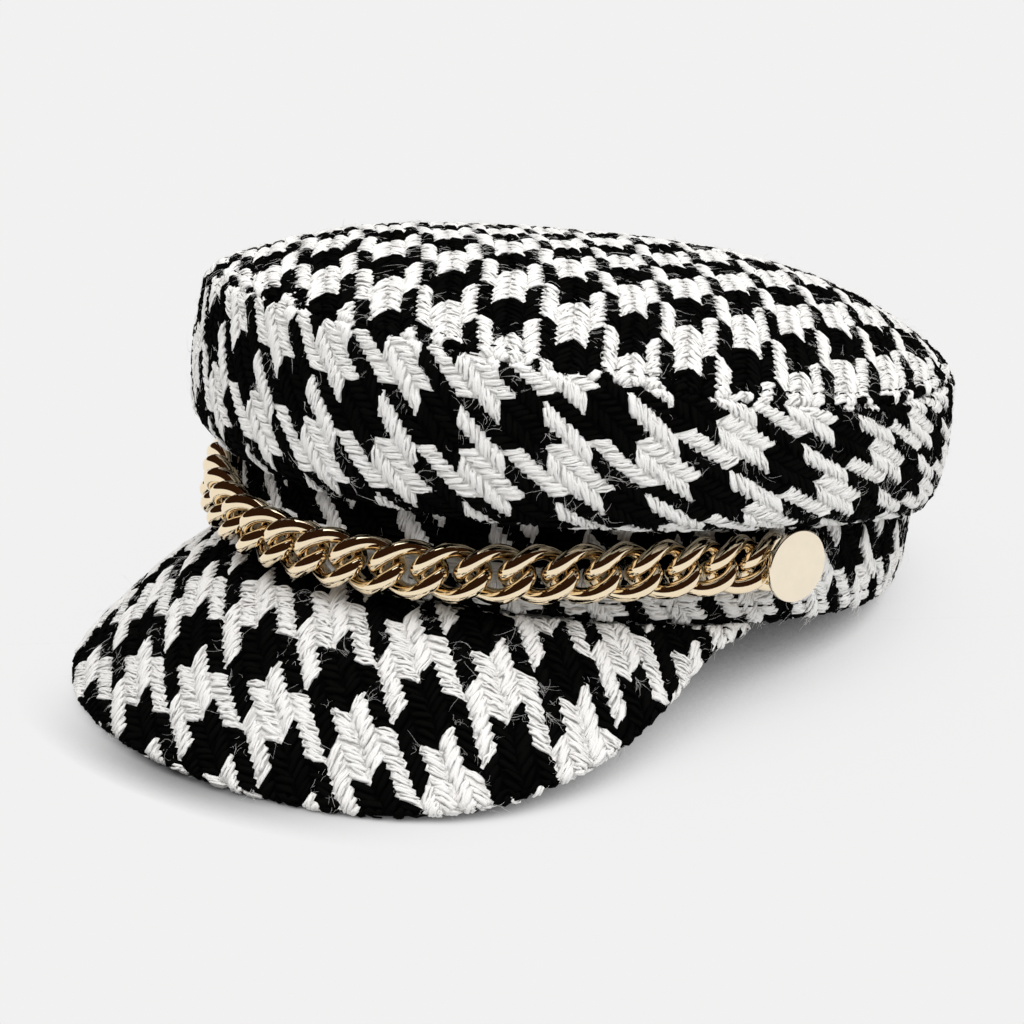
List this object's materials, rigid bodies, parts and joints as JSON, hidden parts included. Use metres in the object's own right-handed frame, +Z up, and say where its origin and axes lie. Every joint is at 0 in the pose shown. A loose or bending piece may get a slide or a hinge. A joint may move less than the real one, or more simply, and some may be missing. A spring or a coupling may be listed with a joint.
{
  "type": "tweed cadet cap with chain",
  "caption": "Soft cadet cap in houndstooth tweed with a puffed crown, an upright headband, a curved peak and a gold curb chain between round buttons.",
  "frame": {"origin": "on the table, under the middle of the whole cap's box", "axes": "+Z up, the peak points to -Y, +X is the wearer's left. The cap leans back on its peak and the back of its headband"},
  "size_m": [0.1976, 0.2734, 0.1197],
  "materials": {
    "tweed": "loose hairy houndstooth weave in off-white and black",
    "chain_gold": "polished gold plating",
    "button_gold": "flat polished pale gold plating"
  },
  "bodies": {
    "root": {"crown_top": "tweed", "crown_side": "tweed", "headband": "tweed", "peak": "tweed", "button_left": "button_gold", "button_right": "button_gold", "link_01": "chain_gold", "link_02": "chain_gold", "link_03": "chain_gold", "link_04": "chain_gold", "link_05": "chain_gold", "link_06": "chain_gold", "link_07": "chain_gold", "link_08": "chain_gold", "link_09": "chain_gold", "link_10": "chain_gold", "link_11": "chain_gold", "link_12": "chain_gold", "link_13": "chain_gold", "link_14": "chain_gold", "link_15": "chain_gold", "link_16": "chain_gold", "link_17": "chain_gold", "link_18": "chain_gold", "link_19": "chain_gold", "link_20": "chain_gold", "link_21": "chain_gold", "link_22": "chain_gold", "link_23": "chain_gold", "link_24": "chain_gold", "link_25": "chain_gold"}
  },
  "joints": []
}
